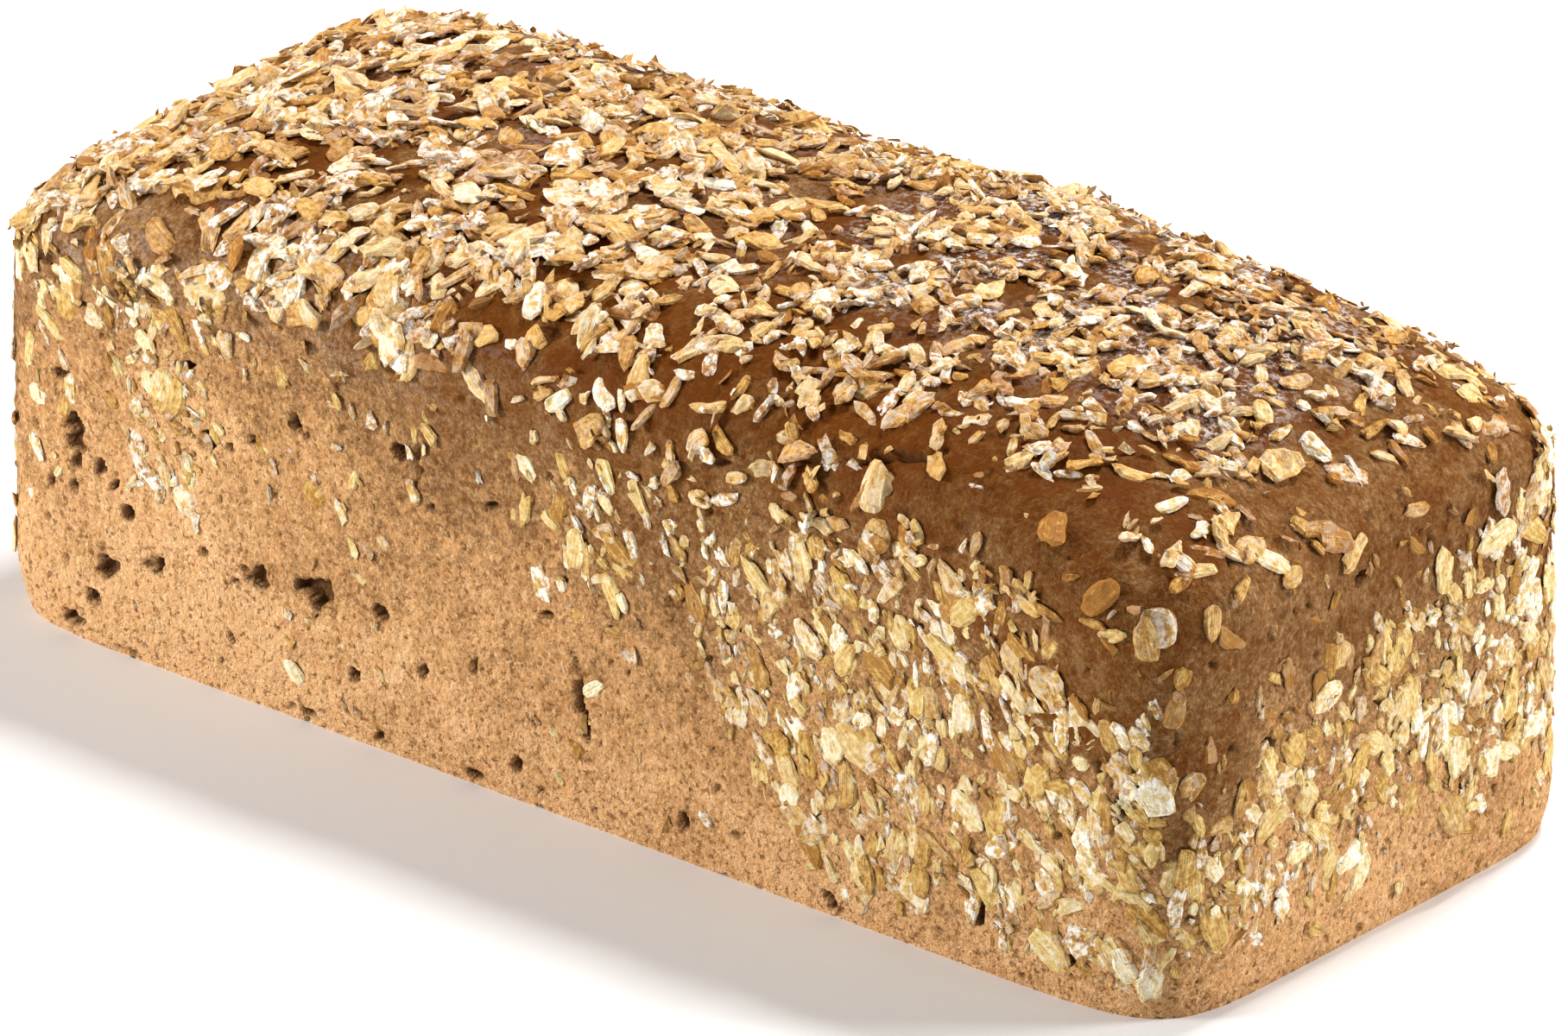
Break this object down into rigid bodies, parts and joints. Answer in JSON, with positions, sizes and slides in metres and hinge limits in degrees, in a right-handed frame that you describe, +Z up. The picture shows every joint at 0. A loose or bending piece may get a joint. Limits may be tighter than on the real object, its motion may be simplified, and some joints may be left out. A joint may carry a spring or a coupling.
{
  "type": "four-grain bread",
  "caption": "Whole tin loaf of dark mixed-grain bread: flat base, upright walls, domed crown, rolled in cereal flakes.",
  "frame": {"origin": "middle of the flat base, on the surface that the loaf stands on", "axes": "+X along the loaf's length, +Y across it, +Z up through the crown"},
  "size_m": [0.263, 0.1122, 0.0946],
  "materials": {
    "crust": "matt baked crust, tan on the walls and reddish brown on the crown",
    "flakes": "dry rolled cereal flakes, straw, cream and floury white"
  },
  "bodies": {
    "root": {"loaf": "crust"}
  },
  "joints": []
}
